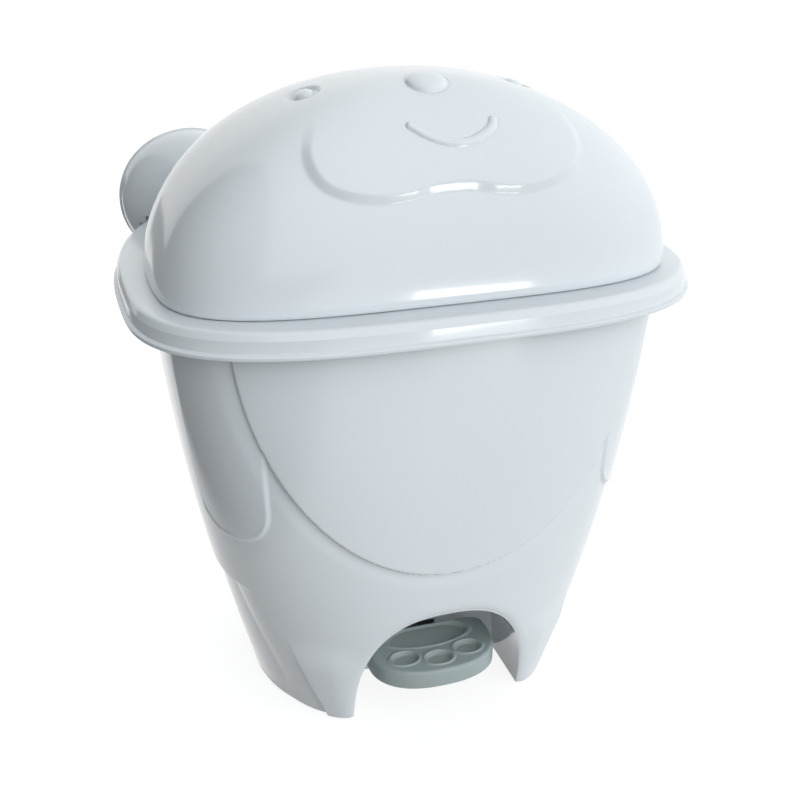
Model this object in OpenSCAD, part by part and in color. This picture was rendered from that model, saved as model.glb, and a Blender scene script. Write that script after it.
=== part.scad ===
// Nappy bin worked by a pedal: a bear's body and feet, with the bear's face and ears on its lid.
// Millimetres, +Z up, the pedal and the face towards -Y. The origin is on the floor, under the
// middle of the footprint. Plans are measured from the rim's widest line, which lies at y = plan_y.

/* [Rim] */
// Width across the lip of the rim
rim_w = 330; // [322:1:340]
// From the rim's widest line to its front
rim_front = 102; // [98:1:108]
// From the rim's widest line to its back
rim_back = 172; // [168:1:180]
// Squareness of the rim's front corners
rim_front_exp = 3.2; // [3:0.1:3.5]
// Squareness of the rim's back corners
rim_back_exp = 2.5; // [2.4:0.1:2.8]
// Height of the lip above the floor
lip_z = 253; // [249:1:265]
// Height of the rim's band, from the lip to its flat top
band_h = 14; // [12:1:18]
// How far the lip's bead stands out of the band
bead = 2; // [1:0.5:3]
// Wall of the collar that makes the rim
collar_wall = 2.4; // [2:0.1:2.8]

/* [Mouth] */
// From the rim's edge in to the mouth, at the front and the sides
mouth_inset = 33; // [32:0.5:35]
// From the rim's back in to the back of the mouth
mouth_back_in = 54; // [52:1:60]
// Width of the shelf round the mouth that carries the bucket
shelf_w = 6; // [5:0.5:6.5]
// Depth of the shelf below the ledge
shelf_drop = 5; // [4:0.5:6]
// Depth of the mouth's wall below the shelf
mouth_drop = 12; // [8:1:14]

/* [Body] */
// Width across the feet at the floor
foot_w = 200; // [192:1:212]
// From the widest line to the front of the feet
foot_front = 86; // [82:1:90]
// From the widest line to the back of the body at the floor
foot_back = 100; // [96:1:108]
// Wall of the body
body_wall = 2.4; // [2:0.1:3]
// How far the top of the body lies inside the lip
body_inset = 18; // [17:0.5:20]
// How far the sides bulge halfway up
side_bulge = 7.5; // [4:0.5:10]
// How far the front bulges halfway up
front_bulge = 7; // [4:0.5:9]
// Clearance under the body's edge, which the rubber pads make
edge_gap = 1; // [0.5:0.1:1.5]

/* [Pedal alcove] */
// Width of the arch between the front feet
arch_w = 108; // [100:1:112]
// Height of the arch
arch_h = 76; // [70:1:80]
// Wall of the alcove behind the arch
alcove_wall = 2; // [1.6:0.1:3]
// From the widest line to the alcove's back wall
alcove_back = 34; // [30:1:40]

/* [Lid] */
// From the rim's side in to the side of the lid
lid_side_in = 16.5; // [15:0.5:20]
// From the rim's front in to the front of the lid
lid_front_in = 20.5; // [18:0.5:24]
// From the rim's back in to the back of the dome
dome_back_in = 42; // [38:1:46]
// From the rim's back in to the lid's rear edge
lid_back_in = 24; // [22:1:28]
// Squareness of the lid's front corners
lid_front_exp = 3.7; // [3.3:0.1:4]
// Squareness of the lid's back corners
lid_back_exp = 2.15; // [2:0.05:2.4]
// Height of the dome above its side strip
dome_h = 105; // [98:1:108]
// Height of the upright strip round the lid's edge
lid_strip = 3; // [2:0.5:5]
// Where the top of the dome lies, in front of the widest line
crown_front = 8; // [0:1:16]
// Wall of the lid
lid_wall = 2.4; // [2:0.1:3]
// How high the rear edge flares up the dome
flare_h = 26; // [20:1:30]

/* [Ears] */
// Radius of an ear
ear_r = 42; // [40:1:44]
// From the lid's side in to an ear's middle
ear_in = 46; // [44.5:0.5:48.5]
// Height of an ear's middle above the ledge
ear_rise = 3.5; // [2:0.5:6]
// How far an ear swells forward
ear_swell = 36; // [32:1:38]
// Depth of an ear's straight back part
ear_depth = 14; // [12:1:16]

/* [Hinge] */
// Height of the hinge pin above the ledge
hinge_rise = 8; // [8:0.5:10]
// Distance from the rim's back to the hinge pin
hinge_in = 12; // [11:0.5:13]
// Radius of the hinge pin
pin_r = 2.5; // [2:0.1:3]
// Length of the lid's barrel
barrel_l = 84; // [76:1:86]
// Radius of the barrel and knuckles
barrel_r = 6.5; // [6:0.25:7]
// Width of each knuckle
knuckle_w = 10; // [8:1:12]

/* [Bucket] */
// Height of the bucket's floor above the ground
bucket_floor_z = 82; // [80:1:90]
// Wall of the bucket
bucket_wall = 2; // [1.6:0.1:2.6]
// Thickness of the bucket's rim flange
flange_t = 2.2; // [2:0.1:3]
// Width of the bucket at its floor
bucket_foot_w = 204; // [190:1:208]
// From the widest line to the front of the bucket's floor
bucket_foot_front = 62; // [56:1:66]
// From the widest line to the back of the bucket's floor
bucket_foot_back = 86; // [80:1:88]

/* [Bucket handle] */
// From the widest line back to the handle's pivots
bail_y = 8; // [4:1:12]
// Length of the handle from its pivots to its grip
bail_reach = 66; // [62:1:67]
// Radius of the handle's wire
bail_r = 1.75; // [1.5:0.05:2]
// Radius of the grip
grip_r = 4.5; // [4:0.25:5]
// Length of the grip
grip_l = 86; // [70:1:90]

/* [Pedal] */
// Width of the pedal's tread
pedal_w = 80; // [74:1:84]
// From the widest line to the front of the pedal
pedal_front = 90; // [86:1:93]
// From the widest line to the back of the pedal's tread
pedal_rear = 42; // [40:1:46]
// Height of the top of the tread
pedal_top = 35; // [34:0.5:38]
// Thickness of the tread
pedal_t = 12; // [10:0.5:13]
// From the widest line forward to the pedal's axle
axle_front = 10; // [8:1:12]
// Height of the pedal's axle
axle_z = 26; // [25:0.5:28]
// Radius of the pedal's axle
axle_r = 3; // [2.5:0.1:3.5]
// Width of the pedal's lever
lever_w = 24; // [20:1:26]
// Thickness of the lever
lever_t = 7; // [6:0.5:8]

/* [Push rod] */
// Radius of the push rod
rod_r = 2; // [1.75:0.05:2.5]
// Arm of the lid's push tab about the hinge pin
tab_arm = 20; // [19:0.1:20.5]
// Radius of the rod's rounded tip
tip_r = 3; // [2.8:0.1:3.2]
// From the widest line to the rod's foot
rod_foot_y = 92; // [90:1:94]

/* [Base] */
// Height of the base plate's lower face
base_z = 4; // [3.5:0.1:5]
// Thickness of the base plate
base_t = 3; // [2.5:0.1:4]
// Radius of a rubber pad
pad_r = 9; // [7:0.5:10]
// Radius of a screw's thread
screw_r = 1.8; // [1.5:0.1:2]

/* [Fits] */
// Radial clearance of a pin in its bore
run_gap = 0.05; // [0.03:0.01:0.08]
// Gap between pieces that lie on each other
seat_gap = 0.3; // [0.2:0.05:0.4]
// Side gap between pieces that pass each other
side_gap = 1; // [0.8:0.1:1.4]

/* [Hidden] */
$fn = 48;

// Facets: points round a moulded shell, and round a small curved outline
ring_n = 72;
outline_n = 28;

// A moulded plan is [half width, front depth, back depth, front squareness, back squareness]
rim_plan = [rim_w / 2, rim_front, rim_back, rim_front_exp, rim_back_exp];
plan_y = (rim_front - rim_back) / 2;
ledge_z = lip_z + band_h;

// The mouth is the hole in the collar, and the shelf round it carries the bucket
shelf_z = ledge_z - shelf_drop;
mouth_back = rim_back - mouth_back_in;
mouth_plan = [rim_w / 2 - mouth_inset, rim_front - mouth_inset, mouth_back,
    rim_front_exp, rim_back_exp];

// The body runs from the floor to just under the ledge, round a rib that centres the collar
rib_h = 4.5;
body_top_z = ledge_z - collar_wall - seat_gap;
foot_plan = [foot_w / 2, foot_front, foot_back, 2.25, 2.4];
body_top_plan = inset(rim_plan, body_inset);
body_levels = [0, 0.05, 0.13, 0.23, 0.35, 0.48, 0.62, 0.76, 0.89, 1];

// The hinge pin stands over the ledge, near its back edge
hinge_y = rim_back - hinge_in;
hinge_z = ledge_z + hinge_rise;
lid_z = ledge_z + seat_gap;
lid_w = rim_w - 2 * lid_side_in;
lid_front = rim_front - lid_front_in;
dome_back = rim_back - dome_back_in;
lid_back = rim_back - lid_back_in;
lid_plan = [lid_w / 2, lid_front, dome_back, lid_front_exp, lid_back_exp];
dome_steps = [0, 9, 19, 29, 39, 49, 59, 69, 78, 86];

// Rubber bumpers under the lid's front, over the ledge between the lid's wall and the mouth
bumper_r = 2.6;
bumper_h = 2.5;
bumper_stem_r = 1.2;
bumper_at = [0.6 * lid_w / 2, -(lid_front - lid_wall - 6.9)];
ear_x = lid_w / 2 - ear_in;
ear_y = hinge_y - ear_depth;
ear_edge_r = 6;
ear_drop_r = 57.5;
ear_drop_in = 10.5;
ear_drop_z = ledge_z - 55;
ear_gap = 6;
ear_vent_r = 1.5;

// The push rod's line, from its foot on the lever to its tip under the lid's tab
tab_angle = 33;
tab_w = 10;
tab_t = 4;
foot_ball_r = 5;
lever_pad_rise = 1;
rod_foot_at = [rod_foot_y, axle_z + lever_pad_rise + seat_gap + foot_ball_r];
rod_tip_at = [hinge_y - tab_arm * cos(tab_angle) + (tip_r + seat_gap) * sin(tab_angle),
    hinge_z - tab_arm * sin(tab_angle) - (tip_r + seat_gap) * cos(tab_angle)];
rod_run = rod_tip_at - rod_foot_at;
rod_l = norm(rod_run);
rod_tilt = atan2(rod_run[0], rod_run[1]);
rod_slot_w = tab_w + 6;
guide_h = 9;
guide_w = 12;
guide_peg_r = 2.5;
guide_lower_z = 92;
guide_upper_z = 206;

// Base plate, its screws and its pads
base_plan = inset(body_plan(base_z), body_wall + side_gap);
base_top_z = base_z + base_t;
post_r = 5;
post_h = 22;
side_post = [foot_w / 2 - 14, 2];
back_post = [44, foot_back - 19];
posts = [side_post, back_post];
screw_grip = 14;
head_r = 3.6;
head_h = 2;
pad_stem_r = 3;
pad_gap = 1;
front_pad_x = mix(arch_w / 2 + alcove_wall + pad_gap + pad_r, foot_w / 2 - body_wall - pad_gap - pad_r, 0.2);
front_pad = [front_pad_x, -front_at(inset(foot_plan, body_wall + pad_gap + pad_r), front_pad_x)];
rear_pad = [0.26 * foot_w, 0.6 * foot_back];

// Pedal lever and tread
axle_at = [-axle_front, axle_z];
lever_under = seat_gap;
tread_z = pedal_top - pedal_t;
front_arm_z = tread_z - lever_under - lever_t;
lever_nose_in = 12;
lever_nose_y = -(pedal_front - lever_nose_in);
lever_knee = 14;
lever_heel_y = rod_foot_y + 8;
hub_r = 8;
cheek_t = 7;
cheek_x = lever_w / 2 + side_gap;
axle_l = 2 * (cheek_x + cheek_t) + 6;
clip_t = 1.2;
tread_mid_in = 6;
tread_mid_y = -(pedal_front + pedal_rear) / 2 + tread_mid_in;
tread_edge = 1.2;
tread_wall = 2.6;
tread_screw_in = [20, 8];
tread_screw_y = [tread_screw_in[0] - pedal_front, -pedal_rear - tread_screw_in[1]];
tread_boss_r = 4.5;
paw_depth = 1;
paw_pad = [26, 11.5];
paw_toe = [8.5, 6];
paw_pad_in = 8;
paw_toe_in = 17;
paw_side_toe = [20.5, 13];

// Bucket and its handle
bucket_top_plan = inset(mouth_plan, side_gap);
flange_plan = inset(mouth_plan, side_gap - shelf_w);
flange_z = shelf_z + seat_gap;
bucket_foot_plan = [bucket_foot_w / 2, bucket_foot_front, bucket_foot_back, 2.6, 2.3];
bail_z = shelf_z - 7;
bail_end_x = bucket_plan(bail_z)[0] + 0.5;
bail_x = round(bail_end_x - bucket_wall - 8);
bail_bend_r = 46;
bail_eye_r = bail_r + 1.6;

/* Shared shapes */

function mix(a, b, t) = a + (b - a) * t;
function inset(p, d) = [p[0] - d, p[1] - d, p[2] - d, p[3], p[4]];
function signed_power(v, e) = sign(v) * pow(abs(v), e);

// The point of plan p at angle a, moved by dy
function plan_point(p, a, dy = 0) =
    let (back = sin(a) >= 0, e = 2 / (back ? p[4] : p[3]))
    [p[0] * signed_power(cos(a), e), (back ? p[2] : p[1]) * signed_power(sin(a), e) + dy];

// How far plan p reaches to the front at x
function front_at(p, x) = p[1] * pow(1 - pow(x / p[0], p[3]), 1 / p[3]);

function plan_outline(p, n = ring_n, dy = 0) =
    [for (i = [0:n - 1]) plan_point(p, i * 360 / n, dy)];

function ring(p, z, dy = 0) = [for (q = plan_outline(p, ring_n, dy)) [q[0], q[1], z]];

// The body's outer plan at height z
function body_plan(z) =
    let (t = z / body_top_z, swell = 4 * t * (1 - t))
    mix(foot_plan, body_top_plan, t) + [side_bulge * swell, front_bulge * swell, 0, 0, 0];

// A lid plan on the dome at climb angle c, thinned by the wall w
function dome_plan(c, w) =
    let (up = lid_z + lid_strip + (dome_h - w) * sin(c), flare = flare_at(up))
    [for (i = [0:4]) i > 2 ? lid_plan[i] : (lid_plan[i] - w) * cos(c) + (i == 2 ? flare : 0)];

function flare_at(z) = (lid_back - dome_back) * pow(max(0, 1 - (z - lid_z) / flare_h), 2);

function dome_ring(c, w) =
    ring(dome_plan(c, w), lid_z + lid_strip + (dome_h - w) * sin(c), -crown_front * (1 - cos(c)));

function rim_edge_ring(w, z) = ring(inset(lid_plan, w) + [0, 0, flare_at(z), 0, 0], z);

// A closed skin over a stack of rings: capped at both ends, or joined end to end
module skin(rings, joined = false) {
    n = len(rings[0]);
    m = len(rings);
    spans = joined ? m : m - 1;
    sides = [for (j = [0:spans - 1], i = [0:n - 1])
        [j * n + i, j * n + (i + 1) % n, ((j + 1) % m) * n + (i + 1) % n, ((j + 1) % m) * n + i]];
    caps = joined ? [] : [[for (i = [0:n - 1]) n - 1 - i], [for (i = [0:n - 1]) (m - 1) * n + i]];
    polyhedron(points = [for (r = rings) each r], faces = [for (f = concat(sides, caps))
        [for (k = [len(f) - 1:-1:0]) f[k]]], convexity = 8);
}

// A shape drawn in the side view, y across and z up, and w wide about x = 0
module side_cut(w) {
    rotate([90, 0, 90]) linear_extrude(height = w, center = true, convexity = 4) children();
}

module along_x(at, r, l) {
    translate([0, at[0], at[1]]) rotate([0, 90, 0]) cylinder(r = r, h = l, center = true);
}

module placed() {
    translate([0, plan_y, 0]) children();
}

module mirrored() {
    children();
    mirror([1, 0, 0]) children();
}

/* Body */

module body_skin() {
    outside = [for (t = body_levels)
        let (z = mix(edge_gap, body_top_z, t)) ring(body_plan(z), z)];
    inside = [for (i = [len(body_levels) - 1:-1:0])
        let (z = mix(edge_gap, body_top_z, body_levels[i])) ring(inset(body_plan(z), body_wall), z)];
    skin(concat(outside, inside), joined = true);
}

module body_block() {
    skin([for (t = body_levels)
        let (z = mix(edge_gap, body_top_z, t)) ring(inset(body_plan(z), body_wall / 2), z)]);
}

// The arch's outline grown by g, pushed back from the front to depth y
module arch_prism(g, y) {
    half = [for (i = [0:outline_n]) let (a = i * 180 / outline_n)
        [(arch_w / 2 + g) * signed_power(cos(a), 2 / 2.6), (arch_h + g) * signed_power(sin(a), 2 / 2.6)]];
    start = rim_front + 20;
    translate([0, -y, 0]) rotate([90, 0, 0]) linear_extrude(height = start - y, convexity = 4)
        polygon(concat(half, [[-arch_w / 2 - g, -5], [arch_w / 2 + g, -5]]));
}

// A screw post at p that grows from the wall in direction d
module screw_post(p, d) {
    reach = 16;
    translate([p[0], p[1], base_top_z + seat_gap]) {
        cylinder(r = post_r, h = post_h);
        rotate([0, 0, d]) translate([0, -post_r / 2, 0]) cube([reach, post_r, post_h]);
    }
}

module body_posts() {
    intersection() {
        body_block();
        mirrored() {
            screw_post(side_post, 0);
            screw_post(back_post, 90);
        }
    }
}

module peg_hole(z) {
    translate([0, wall_y(z) - 5, z]) rotate([-90, 0, 0]) cylinder(r = guide_peg_r + run_gap, h = 14);
}

module outer_body() {
    color([0.80, 0.83, 0.85]) placed() difference() {
        union() {
            body_skin();
            intersection() {
                body_block();
                arch_prism(alcove_wall, alcove_back - alcove_wall);
            }
            body_posts();
        }
        arch_prism(0, alcove_back);
        translate([-cheek_x, -alcove_back - 1, -1]) cube([2 * cheek_x, alcove_wall + 2, axle_z + 6]);
        for (p = posts) mirrored() translate([p[0], p[1], 0])
            cylinder(r = screw_r + run_gap, h = base_top_z + 16);
        peg_hole(guide_lower_z);
        peg_hole(guide_upper_z);
    }
}

module collar_skin() {
    step = inset(mouth_plan, -shelf_w);
    outer = [
        ring(inset(rim_plan, 0.6), lip_z), ring(rim_plan, lip_z + 0.8), ring(rim_plan, lip_z + 2.2),
        ring(inset(rim_plan, bead), lip_z + 3), ring(inset(rim_plan, bead + 0.6), ledge_z - 4.5),
        ring(inset(rim_plan, bead + 1.7), ledge_z - 1.6), ring(inset(rim_plan, bead + 4), ledge_z)
    ];
    mouth = [
        ring(step, ledge_z), ring(step, shelf_z), ring(mouth_plan, shelf_z),
        ring(mouth_plan, shelf_z - mouth_drop), ring(inset(mouth_plan, -2), shelf_z - mouth_drop),
        ring(inset(mouth_plan, -2), shelf_z - collar_wall),
        ring(inset(step, -2), shelf_z - collar_wall), ring(inset(step, -2), ledge_z - collar_wall)
    ];
    rib_out = body_inset + body_wall + side_gap;
    rib = [
        ring(inset(rim_plan, rib_out + 1.6), ledge_z - collar_wall),
        ring(inset(rim_plan, rib_out + 1.6), ledge_z - collar_wall - rib_h),
        ring(inset(rim_plan, rib_out), ledge_z - collar_wall - rib_h),
        ring(inset(rim_plan, rib_out), ledge_z - collar_wall)
    ];
    under = [
        ring(inset(rim_plan, bead + 5), ledge_z - collar_wall),
        ring(inset(rim_plan, bead + 2.6), ledge_z - 5.5), ring(inset(rim_plan, bead + 2.2), lip_z)
    ];
    skin(concat(outer, mouth, rib, under), joined = true);
}

module knuckle() {
    translate([barrel_l / 2 + side_gap + knuckle_w / 2, 0, 0]) {
        along_x([hinge_y, hinge_z], barrel_r, knuckle_w);
        translate([-knuckle_w / 2, hinge_y - barrel_r, ledge_z - 1])
            cube([knuckle_w, 2 * barrel_r, hinge_rise + 1]);
    }
}

module collar() {
    color([0.80, 0.83, 0.85]) placed() difference() {
        union() {
            collar_skin();
            mirrored() knuckle();
        }
        along_x([hinge_y, hinge_z], pin_r + run_gap, rim_w);
        translate([-rod_slot_w / 2, mouth_back + shelf_w - 0.1, shelf_z - collar_wall - 1])
            cube([rod_slot_w, hinge_y - mouth_back - shelf_w - 4, shelf_drop + collar_wall + 5]);
    }
}

/* Base */

module base_outline() {
    difference() {
        polygon(plan_outline(base_plan));
        translate([-arch_w / 2 - alcove_wall - side_gap, -rim_front])
            square([arch_w + 2 * (alcove_wall + side_gap), rim_front - alcove_back + alcove_wall + side_gap]);
    }
}

module cheek() {
    translate([cheek_x + cheek_t / 2, 0, 0]) {
        along_x(axle_at, hub_r, cheek_t);
        translate([-cheek_t / 2, axle_at[0] - hub_r, base_z + 1])
            cube([cheek_t, 2 * hub_r, axle_z - base_z - 1]);
    }
}

module base_plate() {
    color([0.45, 0.48, 0.50]) placed() difference() {
        union() {
            translate([0, 0, base_z]) linear_extrude(height = base_t) base_outline();
            mirrored() cheek();
        }
        along_x(axle_at, axle_r + run_gap, rim_w);
        for (p = posts) mirrored() translate([p[0], p[1], 0])
            cylinder(r = screw_r + seat_gap, h = base_top_z + 1);
        for (p = [front_pad, rear_pad]) mirrored() translate([p[0], p[1], 0])
            cylinder(r = pad_stem_r + run_gap, h = base_top_z + 1);
    }
}

module base_screw(p) {
    translate([p[0], p[1], base_z - head_h]) {
        cylinder(r = head_r, h = head_h);
        cylinder(r = screw_r, h = head_h + base_t + screw_grip);
    }
}

module base_screws() {
    color([0.62, 0.63, 0.65]) placed() for (p = posts) mirrored() base_screw(p);
}

module foot_pad(p) {
    color([0.16, 0.17, 0.18]) placed() translate([p[0], p[1], 0]) {
        cylinder(r1 = pad_r - 1, r2 = pad_r, h = 1);
        translate([0, 0, 1]) cylinder(r = pad_r, h = base_z - 1);
        cylinder(r = pad_stem_r, h = base_top_z + 1);
    }
}

module foot_pad_front_left() {
    foot_pad([-front_pad[0], front_pad[1]]);
}

module foot_pad_front_right() {
    foot_pad(front_pad);
}

module foot_pad_rear_left() {
    foot_pad([-rear_pad[0], rear_pad[1]]);
}

module foot_pad_rear_right() {
    foot_pad(rear_pad);
}

/* Linkage */

function wall_y(z) = body_plan(z)[2] - body_wall;
function rod_y(z) = rod_foot_at[0] + (z - rod_foot_at[1]) * rod_run[0] / rod_run[1];

module on_rod_line() {
    translate([0, rod_foot_at[0], rod_foot_at[1]]) rotate([-rod_tilt, 0, 0]) children();
}

// A guide at height z: a block between the rod and the wall, with a peg through the wall
module rod_guide(z) {
    low = z - guide_h / 2;
    high = z + guide_h / 2;
    front = rod_r + 3;
    color([0.86, 0.87, 0.88]) placed() difference() {
        union() {
            side_cut(guide_w) polygon([[rod_y(low) - front, low], [wall_y(low) - seat_gap, low],
                [wall_y(high) - seat_gap, high], [rod_y(high) - front, high]]);
            translate([0, wall_y(z) - 2, z]) rotate([-90, 0, 0])
                cylinder(r = guide_peg_r, h = body_wall + 2);
        }
        on_rod_line() cylinder(r = rod_r + run_gap, h = rod_l);
    }
}

module rod_guide_lower() {
    rod_guide(guide_lower_z);
}

module rod_guide_upper() {
    rod_guide(guide_upper_z);
}

module push_rod() {
    color([0.70, 0.71, 0.73]) placed() on_rod_line()
        translate([0, 0, foot_ball_r]) cylinder(r = rod_r, h = rod_l - foot_ball_r - tip_r);
}

module rod_foot() {
    color([0.86, 0.87, 0.88]) placed() on_rod_line() difference() {
        union() {
            sphere(r = foot_ball_r);
            cylinder(r = rod_r + 1.8, h = 3 * foot_ball_r);
        }
        translate([0, 0, foot_ball_r - run_gap]) cylinder(r = rod_r + run_gap, h = 3 * foot_ball_r);
    }
}

module rod_tip() {
    sleeve_l = 10;
    color([0.86, 0.87, 0.88]) placed() on_rod_line() translate([0, 0, rod_l]) difference() {
        union() {
            sphere(r = tip_r);
            translate([0, 0, -sleeve_l]) cylinder(r = tip_r, h = sleeve_l);
        }
        translate([0, 0, -sleeve_l - 1]) cylinder(r = rod_r + run_gap, h = sleeve_l + 1 - tip_r + run_gap);
    }
}

module hinge_pin() {
    color([0.70, 0.71, 0.73]) placed()
        along_x([hinge_y, hinge_z], pin_r, barrel_l + 2 * (side_gap + knuckle_w));
}

module pedal_axle() {
    color([0.70, 0.71, 0.73]) placed() along_x(axle_at, axle_r, axle_l);
}

module axle_clips() {
    color([0.35, 0.36, 0.38]) placed() mirrored() difference() {
        translate([cheek_x + cheek_t + seat_gap + clip_t / 2, 0, 0]) along_x(axle_at, axle_r + 2.4, clip_t);
        along_x(axle_at, axle_r + run_gap, rim_w);
    }
}

/* Pedal */

module pedal_lever() {
    color([0.33, 0.37, 0.38]) placed() difference() {
        union() {
            along_x(axle_at, hub_r, lever_w);
            side_cut(lever_w) polygon([
                [lever_nose_y, front_arm_z], [axle_at[0], front_arm_z],
                [axle_at[0] + lever_knee, axle_z + lever_pad_rise - lever_t],
                [lever_heel_y, axle_z + lever_pad_rise - lever_t],
                [lever_heel_y, axle_z + lever_pad_rise], [axle_at[0], axle_z + lever_pad_rise],
                [axle_at[0] - lever_knee, front_arm_z + lever_t], [lever_nose_y, front_arm_z + lever_t]]);
        }
        along_x(axle_at, axle_r + run_gap, rim_w);
        for (y = tread_screw_y) translate([0, y, 0]) cylinder(r = screw_r + seat_gap, h = axle_z);
    }
}

// The tread's plan, drawn in by d
module tread_outline(d) {
    plan = [pedal_w / 2 - d, pedal_front + tread_mid_y - d, -pedal_rear - tread_mid_y - d, 2.4, 6];
    polygon(plan_outline(plan, 2 * outline_n, tread_mid_y));
}

// An ellipse of the paw print at p, with half its width and depth in size
module paw_mark(p, size) {
    translate([p[0], p[1], pedal_top - paw_depth]) linear_extrude(height = 2 * paw_depth)
        polygon([for (i = [0:outline_n - 1]) let (t = i * 360 / outline_n) [size[0] * cos(t), size[1] * sin(t)]]);
}

module pedal_tread() {
    flat_t = pedal_t - tread_edge;
    color([0.37, 0.43, 0.43]) placed() difference() {
        union() {
            translate([0, 0, tread_z]) linear_extrude(height = flat_t) tread_outline(0);
            translate([0, 0, tread_z + flat_t]) linear_extrude(height = tread_edge) tread_outline(tread_edge);
        }
        difference() {
            translate([0, 0, tread_z - 1]) linear_extrude(height = pedal_t + 1 - 2 * tread_wall)
                tread_outline(tread_wall);
            for (y = tread_screw_y) translate([0, y, 0]) cylinder(r = tread_boss_r, h = pedal_top);
        }
        for (y = tread_screw_y) translate([0, y, 0])
            cylinder(r = screw_r + run_gap, h = pedal_top - 2 * tread_wall);
        paw_mark([0, tread_mid_y + paw_pad_in], paw_pad);
        paw_mark([0, tread_mid_y - paw_toe_in], paw_toe);
        mirrored() paw_mark([paw_side_toe[0], tread_mid_y - paw_side_toe[1]], paw_toe);
    }
}

module tread_screws() {
    color([0.62, 0.63, 0.65]) placed() for (y = tread_screw_y) translate([0, y, front_arm_z - head_h]) {
        cylinder(r = head_r, h = head_h);
        cylinder(r = screw_r, h = head_h + lever_t + 5);
    }
}

/* Lid */

module lid_skin() {
    inside = [for (i = [len(dome_steps) - 1:-1:0]) dome_ring(dome_steps[i], lid_wall)];
    outside = [for (c = dome_steps) dome_ring(c, 0)];
    skin(concat(inside, [rim_edge_ring(lid_wall, lid_z), rim_edge_ring(0, lid_z)], outside));
}

// An ear drawn in by w: half a section turned about its own axis, swollen in front and flat behind
module ear_solid(w) {
    edge_r = ear_edge_r - w;
    front = [for (i = [0:12]) let (a = i * 90 / 12) [(ear_r - w) * sin(a), (w - ear_swell) * cos(a)]];
    back = [for (i = [0:5]) let (a = i * 90 / 5)
        [ear_r - ear_edge_r + edge_r * cos(a), ear_depth - ear_edge_r + edge_r * sin(a)]];
    translate([ear_x, ear_y, ledge_z + ear_rise]) rotate([-90, 0, 0])
        rotate_extrude($fn = 96) polygon(concat(front, back, [[0, ear_depth - w]]));
}

// The ear hangs below the ledge only outside the collar's back corner, and is hollow over a vent
module ear() {
    difference() {
        ear_solid(0);
        difference() {
            ear_solid(lid_wall);
            translate([0, 0, lid_z - rim_front]) cube([rim_w, rim_w, rim_front + 2 * lid_wall]);
        }
        translate([ear_x, ear_y - ear_swell / 2, lid_z - 1]) cylinder(r = ear_vent_r, h = 2 * lid_wall + 2);
        translate([0, 0, lid_z - rim_front]) linear_extrude(height = rim_front)
            polygon(plan_outline(inset(rim_plan, -ear_gap)));
        translate([0, 0, lid_z - rim_front]) cube([ear_x, rim_w, rim_front]);
        translate([ear_x - ear_drop_in, ear_y - ear_swell - 1, ear_drop_z]) rotate([-90, 0, 0])
            cylinder(r = ear_drop_r, h = rim_w, $fn = 96);
    }
}

// The push tab under the lid, in front of the hinge pin
module push_tab() {
    side_cut(tab_w) translate([hinge_y, hinge_z]) rotate(180 + tab_angle)
        translate([0, -tab_t]) square([tab_arm + 4, tab_t]);
}

module hinge_web() {
    side_cut(barrel_l) polygon([[lid_back - 10, lid_z], [hinge_y - 0.8 * barrel_r, hinge_z - 0.5 * barrel_r],
        [hinge_y, hinge_z + barrel_r], [dome_back, lid_z + 19], [lid_back - 10, lid_z + 8]]);
}

// Room round the collar's knuckles, in case an ear comes near them
module knuckle_room() {
    room_w = knuckle_w + 2 * side_gap;
    room_r = barrel_r + side_gap;
    mirrored() translate([(barrel_l + room_w) / 2, 0, 0]) {
        along_x([hinge_y, hinge_z], room_r, room_w);
        translate([-room_w / 2, hinge_y - room_r, lid_z - 1]) cube([room_w, 2 * room_r, hinge_z - lid_z + 1]);
    }
}

// A lug inside the lid that holds a rubber bumper over the ledge
module bumper_lug() {
    difference() {
        translate([bumper_at[0], bumper_at[1], lid_z + bumper_h]) cylinder(r = bumper_r + 1, h = 14);
        translate([bumper_at[0], bumper_at[1], lid_z]) cylinder(r = bumper_stem_r + run_gap, h = bumper_h + 6);
    }
}

module lid() {
    color([0.80, 0.83, 0.85]) placed() difference() {
        union() {
            lid_skin();
            mirrored() {
                ear();
                bumper_lug();
            }
            hinge_web();
            along_x([hinge_y, hinge_z], barrel_r, barrel_l);
            push_tab();
        }
        along_x([hinge_y, hinge_z], pin_r + run_gap, barrel_l + 2 * side_gap);
        knuckle_room();
    }
}

module lid_bumper(side) {
    color([0.30, 0.31, 0.32]) placed() translate([side * bumper_at[0], bumper_at[1], lid_z]) {
        cylinder(r = bumper_r, h = bumper_h);
        cylinder(r = bumper_stem_r, h = bumper_h + 5);
    }
}

module lid_bumper_left() {
    lid_bumper(-1);
}

module lid_bumper_right() {
    lid_bumper(1);
}

/* Bucket */

module bucket_skin() {
    low = bucket_floor_z + 6;
    heights = [low, mix(low, flange_z, 0.25), mix(low, flange_z, 0.5), mix(low, flange_z, 0.75)];
    outside = concat(
        [ring(inset(bucket_foot_plan, 7), bucket_floor_z), ring(inset(bucket_foot_plan, 2), bucket_floor_z + 2)],
        [for (z = heights) ring(bucket_plan(z), z)],
        [ring(bucket_top_plan, flange_z), ring(flange_plan, flange_z),
            ring(flange_plan, flange_z + flange_t)]);
    inside = concat(
        [ring(inset(bucket_top_plan, bucket_wall), flange_z + flange_t)],
        [for (i = [len(heights) - 1:-1:0]) ring(inset(bucket_plan(heights[i]), bucket_wall), heights[i])],
        [ring(inset(bucket_foot_plan, 2 * bucket_wall + 4), bucket_floor_z + bucket_wall)]);
    skin(concat(outside, inside));
}

function bucket_plan(z) =
    mix(bucket_foot_plan, bucket_top_plan, (z - bucket_floor_z) / (flange_z - bucket_floor_z));

// A boss inside the bucket's wall, bored for the end of the handle
module bail_boss() {
    translate([(bail_end_x + bail_x) / 2 + 1, 0, 0])
        along_x([bail_y, bail_z], bail_r + 3, bail_end_x - bail_x - 4);
}

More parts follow.
